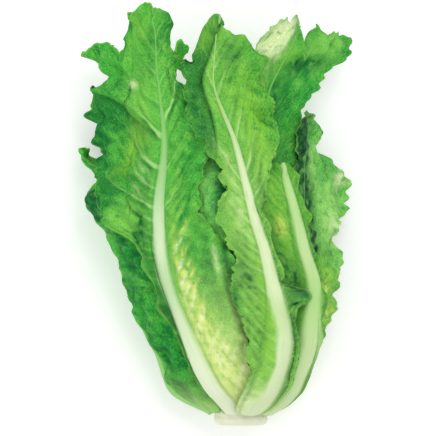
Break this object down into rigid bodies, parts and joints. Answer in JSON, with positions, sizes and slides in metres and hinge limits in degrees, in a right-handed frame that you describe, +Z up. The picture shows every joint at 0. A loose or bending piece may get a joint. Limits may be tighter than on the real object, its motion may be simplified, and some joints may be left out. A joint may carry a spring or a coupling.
{
  "type": "romaine lettuce head",
  "caption": "Whole romaine lettuce head lying on its side: tall ribbed green leaves overlap round a pale heart and spread from a short cut stem.",
  "frame": {"origin": "on the flat spot that the head rests on, at the middle of the lowest leaf's pressed rib", "axes": "+Z up from the surface the head lies on; +Y along the head from the cut stem to the leaf tips; +X to the right seen from above with the tips away"},
  "size_m": [0.1951, 0.2977, 0.109],
  "materials": {
    "stem": "smooth, moist, with a dry cut face",
    "heart": "waxy, pale yellow",
    "inner": "waxy, yellow-green",
    "middle": "waxy, mid green",
    "middle_front": "waxy, mid green",
    "tall": "waxy, mid green with a pale top",
    "under": "waxy, deep green",
    "outer_left": "waxy, dark green, blistered",
    "front_right": "waxy, mid green with a pale rib",
    "outer_right": "waxy, mid green, ruffled",
    "front_left": "waxy, bright green with a pale rib",
    "front_middle": "waxy, light green with a white rib"
  },
  "bodies": {
    "root": {"stem": "stem", "heart_leaf_1": "heart", "heart_leaf_2": "heart", "heart_leaf_3": "heart", "inner_leaf_1": "inner", "inner_leaf_2": "inner", "inner_leaf_3": "inner", "inner_leaf_4": "inner", "middle_leaf_1": "middle", "middle_leaf_2": "middle", "middle_leaf_3": "middle", "middle_leaf_4": "middle", "middle_leaf_front": "middle_front", "tall_leaf_right": "tall", "under_leaf_left": "under", "under_leaf_right": "under", "outer_leaf_left": "outer_left", "front_leaf_right": "front_right", "outer_leaf_right": "outer_right", "under_leaf_middle": "under", "front_leaf_left": "front_left", "front_leaf_middle": "front_middle"}
  },
  "joints": []
}
